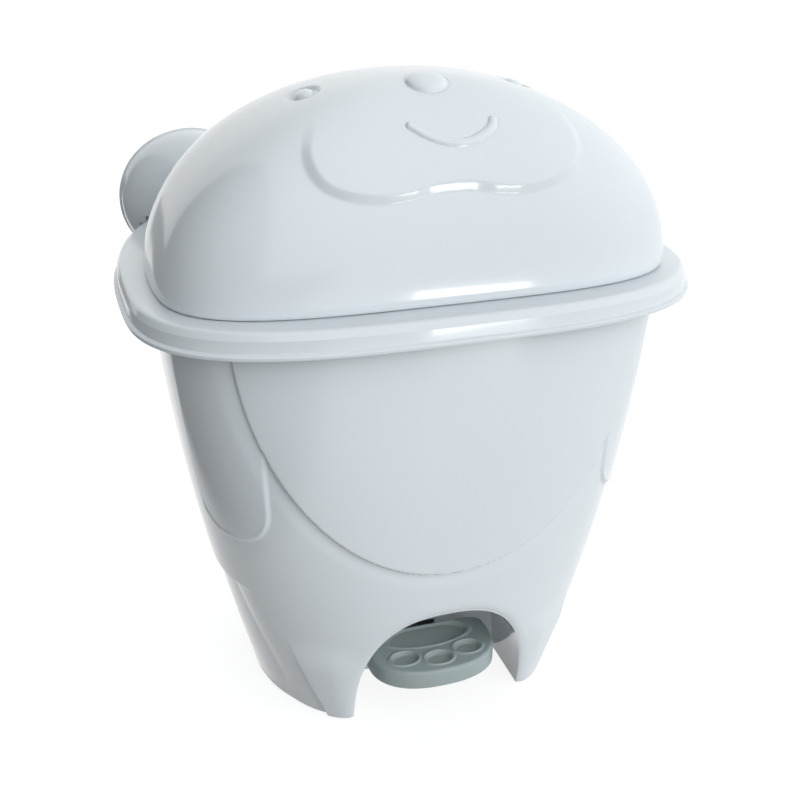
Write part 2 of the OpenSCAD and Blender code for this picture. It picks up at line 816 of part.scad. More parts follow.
module inner_bucket() {
    color([0.88, 0.90, 0.91]) placed() difference() {
        union() {
            bucket_skin();
            mirrored() bail_boss();
        }
        along_x([bail_y, bail_z], bail_r + run_gap, rim_w);
    }
}

// The handle lies forward in the bucket's mouth
module bucket_handle() {
    stub_l = bail_end_x - bail_x;
    leg_l = bail_reach - bail_bend_r;
    color([0.70, 0.71, 0.73]) placed() translate([0, bail_y, bail_z]) {
        mirrored() {
            translate([bail_x, 0, 0]) rotate([0, 90, 0]) cylinder(r = bail_r, h = stub_l);
            translate([bail_x, 0, 0]) along_x([0, 0], bail_eye_r, 2 * bail_r + 0.4);
            translate([bail_x, 0, 0]) rotate([90, 0, 0]) cylinder(r = bail_r, h = leg_l);
            translate([bail_x - bail_bend_r, -leg_l, 0]) rotate([0, 0, -90])
                rotate_extrude(angle = 90) translate([bail_bend_r, 0]) circle(r = bail_r);
        }
        along_x([-bail_reach, 0], bail_r, 2 * (bail_x - bail_bend_r));
    }
}

module handle_grip() {
    color([0.80, 0.83, 0.85]) placed() translate([0, bail_y, bail_z]) difference() {
        along_x([-bail_reach, 0], grip_r, grip_l);
        along_x([-bail_reach, 0], bail_r + run_gap, grip_l + 2);
    }
}

outer_body();
collar();
base_plate();
base_screws();
foot_pad_front_left();
foot_pad_front_right();
foot_pad_rear_left();
foot_pad_rear_right();
rod_guide_lower();
rod_guide_upper();
hinge_pin();
pedal_axle();
axle_clips();
lid();
lid_bumper_left();
lid_bumper_right();
pedal_lever();
pedal_tread();
tread_screws();
push_rod();
rod_foot();
rod_tip();
inner_bucket();
bucket_handle();
handle_grip();
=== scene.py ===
"""Looks of a pedal-worked nappy bin: a bear's body and feet, a bear's face and ears on the lid.

Lengths are in millimetres until a mesh is made, and then in metres. Plans are measured from the
rim's widest line, which lies at y = PLAN_Y in the part's frame.
"""

import logging
import math
from dataclasses import dataclass, field
from enum import Enum
from typing import Any, Iterable, Optional, Sequence, Union

import bmesh
import bpy
import numpy as np
from mathutils import Matrix, Vector

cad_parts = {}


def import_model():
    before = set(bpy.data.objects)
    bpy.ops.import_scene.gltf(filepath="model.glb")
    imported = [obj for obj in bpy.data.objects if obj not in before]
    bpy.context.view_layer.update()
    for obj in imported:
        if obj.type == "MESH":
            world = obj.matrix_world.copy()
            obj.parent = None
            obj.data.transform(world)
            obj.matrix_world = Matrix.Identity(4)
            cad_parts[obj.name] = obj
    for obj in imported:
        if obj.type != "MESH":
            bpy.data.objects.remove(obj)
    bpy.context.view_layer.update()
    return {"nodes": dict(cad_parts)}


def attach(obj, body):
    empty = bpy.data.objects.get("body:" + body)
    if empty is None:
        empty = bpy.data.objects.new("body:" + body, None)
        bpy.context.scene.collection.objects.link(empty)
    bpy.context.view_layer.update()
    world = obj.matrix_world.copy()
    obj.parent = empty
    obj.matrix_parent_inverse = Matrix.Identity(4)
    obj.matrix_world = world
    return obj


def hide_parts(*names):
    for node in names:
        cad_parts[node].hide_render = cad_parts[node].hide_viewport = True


LOG = logging.getLogger("nappy_bin")
MM = 0.001
PLAN_Y = -35.0
TAU = 2.0 * math.pi

Array = np.ndarray


# --------------------------------------------------------------------------------------------
# Shapes
# --------------------------------------------------------------------------------------------


@dataclass(frozen=True)
class Plan:
    """A moulded outline seen from above: two half superellipses that meet at the widest line."""

    half_w: float
    front: float
    back: float
    front_exp: float
    back_exp: float

    def inset(self, d: float) -> "Plan":
        """Return the plan drawn in by d."""
        return Plan(self.half_w - d, self.front - d, self.back - d, self.front_exp, self.back_exp)

    def towards(self, other: "Plan", t: float) -> "Plan":
        """Return the plan at share t of the way to another."""
        pairs = zip(self.values(), other.values())
        return Plan(*(a + (b - a) * t for a, b in pairs))

    def grown(self, side: float, front: float, back: float) -> "Plan":
        """Return the plan with its side, front and back moved out."""
        half_w, depth, rear = self.half_w + side, self.front + front, self.back + back
        return Plan(half_w, depth, rear, self.front_exp, self.back_exp)

    def scaled(self, k: float, back_extra: float = 0.0) -> "Plan":
        """Return the plan scaled by k about the widest line, its back moved out by back_extra."""
        rear = self.back * k + back_extra
        return Plan(self.half_w * k, self.front * k, rear, self.front_exp, self.back_exp)

    def values(self) -> tuple[float, float, float, float, float]:
        """Return the plan's numbers in order."""
        return (self.half_w, self.front, self.back, self.front_exp, self.back_exp)

    def ring(self, turns: Array, z: Union[float, Array], dy: float = 0.0) -> Array:
        """Sample the outline at polar angles.

        Args:
            turns: angles in radians.
            z: height of the ring.
            dy: how far the ring is moved along y.

        Returns:
            An array of points, one row for each angle.
        """
        c, s = np.cos(turns), np.sin(turns)
        e = np.where(s >= 0, self.back_exp, self.front_exp)
        depth = np.where(s >= 0, self.back, self.front)
        r = (np.abs(c / self.half_w) ** e + np.abs(s / depth) ** e) ** (-1.0 / e)
        return np.stack([r * c, r * s + dy, np.broadcast_to(z, c.shape)], axis=-1)


def spread_turns(front: int, back: int) -> Array:
    """Return polar angles with front steps over the front half and back steps over the back half."""
    rear = np.linspace(0.0, math.pi, back, endpoint=False)
    fore = np.linspace(math.pi, TAU, front, endpoint=False)
    return np.concatenate([rear, fore])


def ease(x: Array) -> Array:
    """Return a smooth step from 0 at x = 0 to 1 at x = 1."""
    t = np.clip(x, 0.0, 1.0)
    return t * t * (3.0 - 2.0 * t)


def grid_normals(grid: Array) -> Array:
    """Return unit normals of a grid of points whose columns close on themselves."""
    around = np.roll(grid, -1, axis=1) - np.roll(grid, 1, axis=1)
    along = np.gradient(grid, axis=0)
    n = np.cross(around, along)
    size = np.linalg.norm(n, axis=-1, keepdims=True)
    return n / np.maximum(size, 1e-9)


def polyline_distance(points: Array, line: Array) -> Array:
    """Return the least distance of each point to a chain of straight pieces."""
    best = np.full(len(points), 1e9)
    for a, b in zip(line[:-1], line[1:]):
        d = b - a
        t = np.clip(((points - a) @ d) / max(float(d @ d), 1e-12), 0.0, 1.0)
        gap = np.linalg.norm(points - (a + t[:, None] * d), axis=1)
        best = np.minimum(best, gap)
    return best


def inside_outline(points: Array, outline: Array) -> Array:
    """Say which points of a plane lie inside a closed outline."""
    inside = np.zeros(len(points), bool)
    x, y = points[:, 0], points[:, 1]
    for (xa, ya), (xb, yb) in zip(outline, np.roll(outline, -1, axis=0)):
        crosses = (ya > y) != (yb > y)
        slope = (xb - xa) / (yb - ya) if yb != ya else 0.0
        inside ^= crosses & (x < xa + slope * (y - ya))
    return inside


def smooth_curve(points: Sequence[Sequence[float]], steps: int) -> Array:
    """Return a smooth open curve through points, with steps pieces between each pair."""
    p = np.array(points, float)
    p = np.vstack([2 * p[0] - p[1], p, 2 * p[-1] - p[-2]])
    out = []
    for a, b, c, d in zip(p[:-3], p[1:-2], p[2:-1], p[3:]):
        for t in np.arange(steps) / steps:
            square, cube = 2 * a - 5 * b + 4 * c - d, 3 * b - a - 3 * c + d
            out.append(0.5 * (2 * b + (c - a) * t + square * t**2 + cube * t**3))
    out.append(p[-2])
    return np.array(out)


def rounded_profile(
    corners: Sequence[tuple[float, float, float]], steps: int
) -> list[tuple[float, float]]:
    """Round the corners of an open profile.

    Args:
        corners: (a, b, radius) of each corner, where a radius of 0 keeps it sharp.
        steps: pieces in each arc.

    Returns:
        The points of the rounded profile.
    """
    out: list[tuple[float, float]] = []
    last = len(corners) - 1
    for i, (a, b, r) in enumerate(corners):
        here = np.array([a, b])
        if r <= 0 or i in (0, last):
            out.append((a, b))
            continue
        before = np.array(corners[i - 1][:2]) - here
        after = np.array(corners[i + 1][:2]) - here
        u, v = before / np.linalg.norm(before), after / np.linalg.norm(after)
        half = math.acos(float(np.clip(u @ v, -1, 1))) / 2
        reach = min(r / math.tan(half), 0.48 * np.linalg.norm(before), 0.48 * np.linalg.norm(after))
        start, end = here + u * reach, here + v * reach
        for t in np.linspace(0, 1, steps + 1):
            p = (1 - t) ** 2 * start + 2 * t * (1 - t) * here + t**2 * end
            out.append((float(p[0]), float(p[1])))
    return out


# --------------------------------------------------------------------------------------------
# Meshes
# --------------------------------------------------------------------------------------------


class Mould:
    """Makes Blender meshes from points in millimetres about the widest line."""

    @staticmethod
    def place(points: Array) -> Array:
        """Move points into the part's frame, in metres."""
        return (np.asarray(points, float) + np.array([0.0, PLAN_Y, 0.0])) * MM

    @classmethod
    def piece(
        cls, name: str, points: Array, faces: Sequence[Sequence[int]], sharp: float = 38.0
    ) -> bpy.types.Object:
        """Make an object of points and faces.

        Args:
            name: the object's name.
            points: corners in millimetres.
            faces: corner numbers of each face.
            sharp: edges that bend by more degrees than this stay sharp.

        Returns:
            The new object.
        """
        mesh = bpy.data.meshes.new(name)
        mesh.from_pydata(cls.place(points).tolist(), [], [list(f) for f in faces])
        mesh.update()
        obj = bpy.data.objects.new(name, mesh)
        bpy.context.scene.collection.objects.link(obj)
        cls.smooth(obj, sharp)
        return obj

    @staticmethod
    def smooth(obj: bpy.types.Object, sharp: float) -> None:
        """Shade an object smooth, apart from edges that bend by more than sharp degrees."""
        obj.data.shade_smooth()
        obj.data.set_sharp_from_angle(angle=math.radians(sharp))

    @classmethod
    def skin(
        cls,
        name: str,
        rings: Sequence[Array],
        joined: bool = False,
        sharp: float = 38.0,
    ) -> bpy.types.Object:
        """Make a closed skin over a stack of rings.

        Args:
            name: the object's name.
            rings: rings of equally many points, each counter-clockwise from above.
            joined: join the last ring to the first, or close both ends with a fan.
            sharp: edges that bend by more degrees than this stay sharp.

        Returns:
            The new object.
        """
        stack = np.array(rings)
        m, n = stack.shape[:2]
        points = stack.reshape(-1, 3)
        i = np.arange(n)
        faces: list[list[int]] = []
        for j in range(m if joined else m - 1):
            low, high = j * n, ((j + 1) % m) * n
            quads = np.stack([low + i, low + (i + 1) % n, high + (i + 1) % n, high + i], axis=1)
            faces += quads.tolist()
        if not joined:
            points = np.vstack([points, stack[0].mean(0), stack[-1].mean(0)])
            first, last, top = m * n, m * n + 1, (m - 1) * n
            faces += [[first, (k + 1) % n, k] for k in range(n)]
            faces += [[last, top + k, top + (k + 1) % n] for k in range(n)]
        return cls.piece(name, points, faces, sharp)

    @classmethod
    def prism(
        cls, name: str, outline: Sequence[Sequence[float]], low: float, high: float, axis: str
    ) -> bpy.types.Object:
        """Make a closed prism.

        Args:
            name: the object's name.
            outline: the closed outline: (y, z) along x, (x, z) along y or (x, y) along z.
            low: where the prism starts on its axis.
            high: where it ends.
            axis: "x", "y" or "z".

        Returns:
            The new object.
        """
        flat = np.array(outline, float)
        order = {"x": (2, 0, 1), "y": (0, 2, 1), "z": (0, 1, 2)}[axis]
        rings = []
        for at in (low, high):
            body = np.column_stack([flat, np.full(len(flat), at)])
            rings.append(body[:, order])
        n = len(flat)
        points = np.vstack(rings)
        faces = [list(range(n))[::-1], list(range(n, 2 * n))]
        faces += [[k, (k + 1) % n, n + (k + 1) % n, n + k] for k in range(n)]
        obj = cls.piece(name, points, faces)
        cls.face_out(obj)
        return obj

    @classmethod
    def round_bar(
        cls,
        name: str,
        at: Sequence[float],
        r: float,
        length: float,
        axis: str = "x",
        edge: float = 0.4,
        n: int = 48,
    ) -> bpy.types.Object:
        """Make a round bar with softened ends.

        Args:
            name: the object's name.
            at: its middle.
            r: its radius.
            length: its length.
            axis: "x", "y" or "z".
            edge: how far its ends are softened.
            n: how many sides it has.

        Returns:
            The new object.
        """
        half = length / 2
        steps = [(r - edge, -half), (r - 0.3 * edge, -half + 0.3 * edge), (r, -half + edge)]
        steps += [(a, -b) for a, b in reversed(steps)]
        turns = np.linspace(0, TAU, n, endpoint=False)
        rings = []
        for a, b in steps:
            c, s, k = a * np.cos(turns), a * np.sin(turns), np.full(n, b)
            ring = {"x": (k, c, s), "y": (s, k, c), "z": (c, s, k)}[axis]
            rings.append(np.stack(ring, axis=-1) + np.array(at, float))
        obj = cls.skin(name, rings)
        cls.face_out(obj)
        return obj

    @classmethod
    def block(cls, name: str, low: Sequence[float], high: Sequence[float]) -> bpy.types.Object:
        """Make a plain block between two corners, for use as a cutter or a lug."""
        (xa, ya, za), (xb, yb, zb) = low, high
        return cls.prism(name, [(xa, ya), (xb, ya), (xb, yb), (xa, yb)], za, zb, "z")

    @staticmethod
    def face_out(obj: bpy.types.Object) -> None:
        """Turn an object's faces outwards."""
        bm = bmesh.new()
        bm.from_mesh(obj.data)
        bmesh.ops.recalc_face_normals(bm, faces=bm.faces)
        bm.to_mesh(obj.data)
        bm.free()

    @classmethod
    def join(
        cls, obj: bpy.types.Object, tools: Iterable[bpy.types.Object], mode: "Join", sharp: float = 38.0
    ) -> None:
        """Unite an object with tools, cut it with them or keep what they share, and drop the tools.

        Args:
            obj: the object that changes.
            tools: closed objects.
            mode: what to do with them.
            sharp: edges that bend by more degrees than this stay sharp.
        """
        for tool in tools:
            mod = obj.modifiers.new("join", "BOOLEAN")
            mod.operation = mode.value
            mod.solver = "MANIFOLD"
            mod.object = tool
            depsgraph = bpy.context.evaluated_depsgraph_get()
            made = bpy.data.meshes.new_from_object(obj.evaluated_get(depsgraph))
            obj.modifiers.clear()
            old = obj.data
            obj.data = made
            made.name = obj.name
            bpy.data.meshes.remove(old)
            bpy.data.objects.remove(tool)
        cls.smooth(obj, sharp)


class Join(Enum):
    """What happens between an object and a tool."""

    ADD = "UNION"
    CUT = "DIFFERENCE"
    KEEP = "INTERSECT"


# --------------------------------------------------------------------------------------------
# Shader language
# --------------------------------------------------------------------------------------------


class Val:
    """A shader value that takes Python's arithmetic."""

    def __init__(self, tree: "Tree", socket: bpy.types.NodeSocket) -> None:
        """Wrap a socket of a tree."""
        self.tree = tree
        self.socket = socket

    def _op(self, operation: str, *terms: Any) -> "Val":
        """Return the result of a Math node."""
        return self.tree.node("ShaderNodeMath", {"operation": operation}, dict(enumerate(terms)))

    def __add__(self, other: Any) -> "Val":
        """Add."""
        return self._op("ADD", self, other)

    __radd__ = __add__

    def __sub__(self, other: Any) -> "Val":
        """Subtract."""
        return self._op("SUBTRACT", self, other)

    def __rsub__(self, other: Any) -> "Val":
        """Subtract from a number."""
        return self._op("SUBTRACT", other, self)

    def __mul__(self, other: Any) -> "Val":
        """Multiply."""
        return self._op("MULTIPLY", self, other)

    __rmul__ = __mul__


class Tree:
    """A material's or world's node tree, with one method that makes nodes."""

    def __init__(self, owner: Union[bpy.types.Material, bpy.types.World]) -> None:
        """Empty the owner's tree and keep it."""
        owner.use_nodes = True
        self.nodes = owner.node_tree.nodes
        self.links = owner.node_tree.links
        self.nodes.clear()

    def node(
        self,
        kind: str,
        settings: Optional[dict[str, Any]] = None,
        inputs: Optional[dict[Union[int, str], Any]] = None,
        output: Union[int, str] = 0,
    ) -> Val:
        """Make a node.

        Args:
            kind: the node's type.
            settings: properties that are set first.
            inputs: socket numbers or names, with the values or links they get.
            output: the socket that is returned.

        Returns:
            The chosen output as a value.
        """
        made = self.nodes.new(kind)
        for key, value in (settings or {}).items():
            setattr(made, key, value)
        for key, value in (inputs or {}).items():
            socket = made.inputs[key]
            if isinstance(value, Val):
                self.links.new(value.socket, socket)
            else:
                socket.default_value = value
        return Val(self, made.outputs[output]) if made.outputs else Val(self, None)

    def position(self) -> Val:
        """Return the object's own coordinates."""
        return self.node("ShaderNodeTexCoord", output="Object")

    def facing(self, where: Val, way: Sequence[float]) -> Val:
        """Return how far a vector lies along a direction."""
        settings = {"operation": "DOT_PRODUCT"}
        return self.node("ShaderNodeVectorMath", settings, {0: where, 1: way}, output="Value")

    def lobe(self, where: Val, way: Sequence[float], start: float, full: float, strength: float) -> Val:
        """Return a soft patch round a direction.

        Args:
            where: the direction or the place that is looked at.
            way: the patch's middle.
            start: how far along way the patch begins.
            full: how far along way it is at its full strength.
            strength: its value there.

        Returns:
            The patch's value, which is 0 outside it.
        """
        inputs = {"Value": self.facing(where, way), "From Min": start, "From Max": full, "To Max": strength}
        return self.node("ShaderNodeMapRange", {"interpolation_type": "SMOOTHSTEP"}, inputs)

    def clamp(self, value: Val) -> Val:
        """Return a value held between 0 and 1."""
        return self.node("ShaderNodeClamp", inputs={"Value": value})

    def noise(self, scale: float, detail: float, roughness: float, at: Val) -> Val:
        """Return smooth noise from 0 to 1, scale features to the metre."""
        inputs = {"Vector": at, "Scale": scale, "Detail": detail, "Roughness": roughness}
        return self.node("ShaderNodeTexNoise", inputs=inputs)

    def blend(self, factor: Val, low: Sequence[float], high: Sequence[float]) -> Val:
        """Return a colour between two."""
        inputs = {0: factor, 6: (*low, 1.0), 7: (*high, 1.0)}
        return self.node("ShaderNodeMix", {"data_type": "RGBA"}, inputs, output=2)

    def between(self, factor: Val, low: float, high: float) -> Val:
        """Return low where factor is 0 and high where it is 1."""
        return factor * (high - low) + low

    def bump(self, height: Val, strength: float, distance_mm: float) -> Val:
        """Return a normal that a height disturbs."""
        inputs = {"Height": height, "Strength": strength, "Distance": distance_mm * MM}
        return self.node("ShaderNodeBump", inputs=inputs, output="Normal")


@dataclass(frozen=True)
class Finish:
    """A finish: its slot in the record, its two colours, its gloss and its fine relief."""

    name: str
    slot: str
    deep: tuple[float, float, float]
    light: tuple[float, float, float]
    rough: tuple[float, float]
    metal: float = 0.0
    coat: float = 0.0
    relief_scale: float = 40.0
    relief_mm: float = 0.02
    stretch: tuple[float, float, float] = (1.0, 1.0, 1.0)

    def material(self) -> bpy.types.Material:
        """Build the material, or return the one already built."""
        known = bpy.data.materials.get(self.name)
        if known:
            return known
        made = bpy.data.materials.new(self.name)
        tree = Tree(made)
        where = tree.node(
            "ShaderNodeVectorMath", {"operation": "MULTIPLY"}, {0: tree.position(), 1: self.stretch}
        )
        cloud = tree.noise(6.0, 3.0, 0.55, where)
        grain = tree.noise(self.relief_scale, 3.0, 0.6, where)
        inputs = {
            "Base Color": tree.blend(cloud, self.deep, self.light),
            "Roughness": tree.between(tree.noise(22.0, 4.0, 0.6, where), *self.rough),
            "Metallic": self.metal,
            "Coat Weight": self.coat,
            "Coat Roughness": 0.03,
            "Normal": tree.bump(grain, 0.6, self.relief_mm),
        }
        shader = tree.node("ShaderNodeBsdfPrincipled", inputs=inputs)
        tree.node("ShaderNodeOutputMaterial", inputs={"Surface": shader})
        return made

    def dress(self, *objs: bpy.types.Object) -> None:
        """Give objects this finish in every slot."""
        material = self.material()
        for obj in objs:
            obj.data.materials.clear()
            obj.data.materials.append(material)


SHELL = Finish(
    "shell_plastic", "shell", (0.60, 0.645, 0.672), (0.625, 0.67, 0.695),
    (0.10, 0.17), coat=0.35, relief_scale=24.0, relief_mm=0.03,
)
BUCKET = Finish(
    "bucket_plastic", "bucket", (0.712, 0.742, 0.762), (0.722, 0.752, 0.772),
    (0.30, 0.34), relief_scale=300.0,
)
PEDAL = Finish(
    "pedal_plastic", "pedal", (0.28, 0.336, 0.334), (0.31, 0.366, 0.364),
    (0.30, 0.42), relief_scale=900.0, relief_mm=0.03,
)
BASE = Finish(
    "base_plastic", "base", (0.36, 0.38, 0.40), (0.42, 0.44, 0.46),
    (0.40, 0.55), relief_scale=700.0, relief_mm=0.04,
)
GUIDE = Finish(
    "guide_plastic", "guide", (0.70, 0.71, 0.72), (0.76, 0.77, 0.78),
    (0.28, 0.4), relief_scale=500.0,
)
CLIP = Finish(
    "clip_plastic", "clip", (0.06, 0.06, 0.065), (0.09, 0.09, 0.095),
    (0.35, 0.5), relief_scale=600.0,
)
RUBBER = Finish(
    "pad_rubber", "pad", (0.035, 0.037, 0.04), (0.055, 0.057, 0.06),
    (0.65, 0.8), relief_scale=900.0, relief_mm=0.06,
)
ZINC = Finish(
    "zinc_screw", "screw", (0.50, 0.50, 0.52), (0.62, 0.62, 0.63),
    (0.25, 0.4), metal=1.0, relief_scale=800.0,
)
STEEL = Finish(
    "drawn_steel", "steel", (0.52, 0.53, 0.54), (0.66, 0.67, 0.68),
    (0.16, 0.3), metal=1.0, relief_scale=160.0, stretch=(1.0, 8.0, 1.0),
)
GRIP = Finish(
    "grip_plastic", "grip", (0.60, 0.645, 0.672), (0.65, 0.695, 0.72),
    (0.22, 0.32), relief_scale=400.0,
)


# --------------------------------------------------------------------------------------------
# Studio
# --------------------------------------------------------------------------------------------


@dataclass
class Studio:
    """The floor, the light and the camera. The camera's place is in millimetres."""

    camera_at: tuple[float, float, float] = (-217.67, -630.54, 496.51)
    turn: float = -0.330606619
    rise: float = 0.450111
    roll: float = 0.014966
    lens_mm: float = 54.0
    floor_half: float = 6.0

    def build(self) -> None:
        """Make the whole studio."""
        self.colours()
        self.camera()
        self.world()
        self.floor()
        self.lamps()

    @staticmethod
    def colours() -> None:
        """Show colours plainly."""
        bpy.context.scene.view_settings.view_transform = "Standard"

    def camera(self) -> None:
        """Put the camera where the photograph was taken from."""
        ca, sa = math.cos(self.turn), math.sin(self.turn)
        ce, se = math.cos(self.rise), math.sin(self.rise)
        back = Vector((sa * ce, -ca * ce, se))
        right = Vector((ca, sa, 0.0))
        up = right.cross(-back)
        c, s = math.cos(self.roll), math.sin(self.roll)
        right, up = right * c + up * s, up * c - right * s
        turned = Matrix((right, up, back)).transposed().to_4x4()
        data = bpy.data.cameras.new("camera")
        data.lens = self.lens_mm
        data.sensor_width = 36.0
        camera = bpy.data.objects.new("camera", data)
        x, y, z = self.camera_at
        camera.matrix_world = Matrix.Translation(Vector((x, y + PLAN_Y, z)) * MM) @ turned
        bpy.context.scene.collection.objects.link(camera)
        bpy.context.scene.camera = camera

    @staticmethod
    def world() -> None:
        """Light the scene from the front right, behind and above, before a white backdrop, and paint a dark
        reflection on the left that only glossy rays see.
        """
        world = bpy.data.worlds.new("studio")
        bpy.context.scene.world = world
        tree = Tree(world)
        path = tree.nodes.new("ShaderNodeLightPath")
        camera = Val(tree, path.outputs["Is Camera Ray"])
        glossy = Val(tree, path.outputs["Is Glossy Ray"])
        seen = tree.clamp(camera + glossy + Val(tree, path.outputs["Is Transmission Ray"]))
        where = tree.node("ShaderNodeTexCoord", output="Generated")
        front = tree.lobe(where, (0.498, -0.863, 0.087), 0.30, 0.95, 2.92)
        back = tree.lobe(where, (0.421, 0.903, 0.087), 0.45, 0.95, 2.80)
        above = tree.lobe(where, (-0.40, 0.30, 0.87), 0.30, 0.95, 0.60)
        # Painted dark reflection: a dark patch to the left that only glossy rays see. It darkens the
        # reflections on the bin's left side, and neither the camera nor the light sees anything there.
        dark_reflection = tree.lobe(where, (-0.98, -0.20, 0.05), 0.44, 0.48, 0.92)
        strength = front + back + above + 0.03
        cool = (0.97, 0.985, 1.0, 1.0)
        soft = tree.node("ShaderNodeBackground", inputs={"Color": cool, "Strength": strength})
        shown = tree.blend(dark_reflection * glossy, (1.0, 1.0, 1.0), (0.12, 0.13, 0.14))
        white = tree.node("ShaderNodeBackground", inputs={"Color": shown, "Strength": 1.0})
        mix = tree.node("ShaderNodeMixShader", inputs={0: seen, 1: soft, 2: white})
        tree.node("ShaderNodeOutputWorld", inputs={"Surface": mix})

    def floor(self) -> None:
        """Lay a white floor that keeps the object's shadow, with a painted dark patch on its left that only
        reflections show.
        """
        mesh = bpy.data.meshes.new("floor")
        h = self.floor_half
        mesh.from_pydata([(-h, -h, 0), (h, -h, 0), (h, h, 0), (-h, h, 0)], [], [(0, 1, 2, 3)])
        floor = bpy.data.objects.new("floor", mesh)
        bpy.context.scene.collection.objects.link(floor)
        material = bpy.data.materials.new("floor_white")
        tree = Tree(material)
        path = tree.nodes.new("ShaderNodeLightPath")
        camera = Val(tree, path.outputs["Is Camera Ray"])
        glossy = Val(tree, path.outputs["Is Glossy Ray"])
        # Painted dark reflection: the floor's left part looks dark only to glossy rays. It darkens the
        # reflections low on the bin's left side.
        dark_reflection = tree.lobe(tree.position(), (-0.98, -0.20, 0.0), 0.22, 0.30, 0.92)
        paper = tree.node("ShaderNodeBsdfDiffuse", inputs={"Color": (0.18, 0.183, 0.186, 1.0)})
        glow = tree.blend(dark_reflection * glossy, (0.87, 0.87, 0.87), (0.05, 0.05, 0.055))
        light = tree.node("ShaderNodeEmission", inputs={"Color": glow, "Strength": 1.0})
        both = tree.node("ShaderNodeAddShader", inputs={0: paper, 1: light})
        mix = tree.node("ShaderNodeMixShader", inputs={0: tree.clamp(camera + glossy), 1: paper, 2: both})
        tree.node("ShaderNodeOutputMaterial", inputs={"Surface": mix})
        mesh.materials.append(material)

    @staticmethod
    def lamp(
        name: str, at: Sequence[float], aim: Sequence[float], size: tuple[float, float], watts: float
    ) -> None:
        """Hang a soft rectangular lamp.

        Args:
            name: the lamp's name.
            at: its place in metres.
            aim: the point it faces.
            size: its width and height in metres.
            watts: its power.
        """
        data = bpy.data.lights.new(name, "AREA")
        data.shape = "RECTANGLE"
        data.size, data.size_y = size
        data.energy = watts
        lamp = bpy.data.objects.new(name, data)
        lamp.location = at
        lamp.rotation_euler = (Vector(aim) - Vector(at)).to_track_quat("-Z", "Y").to_euler()
        bpy.context.scene.collection.objects.link(lamp)

    def lamps(self) -> None:
        """Hang a small lamp low in front on the right, which draws the highlights."""
        self.lamp("strip", (0.30, -0.80, 0.035), (0.02, -0.13, 0.24), (0.17, 0.06), 0.32)


# --------------------------------------------------------------------------------------------
# The bin
# --------------------------------------------------------------------------------------------


@dataclass
class Rim:
    """Sizes of the rim that the collar, the shell, the lid and the bucket share."""

    plan: Plan = Plan(165.0, 102.0, 172.0, 3.2, 2.5)
    lip_z: float = 253.0
    ledge_z: float = 267.0
    wall: float = 2.4
    mouth: Plan = Plan(132.0, 69.0, 118.0, 3.2, 2.5)
    shelf_w: float = 6.0
    shelf_z: float = 262.0
    mouth_drop: float = 12.0
    hinge: tuple[float, float] = (160.0, 275.0)
    knuckle_r: float = 6.5
    pin_bore_r: float = 2.55
    barrel_half: float = 42.0
    knuckle_w: float = 10.0
    side_gap: float = 1.0


@dataclass
class Collar:
    """The wide rim: bead, band, ledge, shelf round the mouth, and the hinge knuckles."""

    rim: Rim
    columns: int = 420
    slot_half: float = 8.0

    def build(self) -> bpy.types.Object:
        """Build the collar and dress it."""
        rim = self.rim
        turns = spread_turns(self.columns // 2, self.columns // 2)
        rings = [rim.plan.inset(d).ring(turns, z) for d, z in self.outside()]
        rings += [plan.ring(turns, z) for plan, z in self.mouth_side()]
        rings += [rim.plan.inset(d).ring(turns, z) for d, z in self.underside()]
        collar = Mould.skin("collar_rim", rings, joined=True, sharp=32.0)
        y, z = rim.hinge
        lugs = []
        for side in (-1, 1):
            middle = side * (rim.barrel_half + rim.side_gap + rim.knuckle_w / 2)
            low, high = middle - rim.knuckle_w / 2, middle + rim.knuckle_w / 2
            lugs.append(Mould.round_bar("knuckle", (middle, y, z), rim.knuckle_r, rim.knuckle_w))
            corner = (low + 0.2, y - rim.knuckle_r, rim.ledge_z - 1)
            lugs.append(Mould.block("knuckle_foot", corner, (high - 0.2, y + rim.knuckle_r, z)))
        Mould.join(collar, lugs, Join.ADD)
        bore = Mould.round_bar("bore", (0, y, z), rim.pin_bore_r, 2 * rim.plan.half_w, edge=0.01)
        back = rim.mouth.back + rim.shelf_w
        corner = (-self.slot_half, back - 0.1, rim.shelf_z - 4)
        slot = Mould.block("slot", corner, (self.slot_half, y - 4, rim.ledge_z + 3))
        Mould.join(collar, [bore, slot], Join.CUT, sharp=32.0)
        SHELL.dress(collar)
        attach(collar, "bin_body")
        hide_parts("collar")
        return collar

    def outside(self) -> list[tuple[float, float]]:
        """Return the (inset, height) profile from the lip up to the ledge's inner side."""
        lip, top = self.rim.lip_z, self.rim.ledge_z
        return rounded_profile(
            [
                (2.4, lip, 0),
                (0.2, lip, 0.5),
                (0.0, lip + 2.2, 0.9),
                (2.1, lip + 3.1, 0.4),
                (2.4, top - 4.2, 1.2),
                (4.6, top + 0.2, 3.4),
                (11.0, top, 2.0),
                (22.0, top, 0),
            ],
            6,
        )

    def mouth_side(self) -> list[tuple[Plan, float]]:
        """Return the rings down the step, over the shelf and round the mouth's wall."""
        rim = self.rim
        step, wall = rim.mouth.inset(-rim.shelf_w), rim.mouth.inset(-2.0)
        foot = rim.shelf_z - rim.mouth_drop
        return [
            (step.inset(-0.6), rim.ledge_z),
            (step, rim.ledge_z - 0.6),
            (step, rim.shelf_z),
            (rim.mouth.inset(-0.5), rim.shelf_z),
            (rim.mouth, rim.shelf_z - 0.5),
            (rim.mouth, foot),
            (wall, foot),
            (wall, rim.shelf_z - rim.wall),
            (step.inset(-2.0), rim.shelf_z - rim.wall),
            (step.inset(-2.0), rim.ledge_z - rim.wall),
        ]

    def underside(self) -> list[tuple[float, float]]:
        """Return the (inset, height) profile under the ledge, with the rib that centres the body."""
        top, lip = self.rim.ledge_z - self.rim.wall, self.rim.lip_z
        rib = [(23.0, top), (23.0, top - 4.5), (21.4, top - 4.5), (21.4, top)]
        return rib + [(7.5, top), (5.2, top - 2.6), (4.2, lip)]


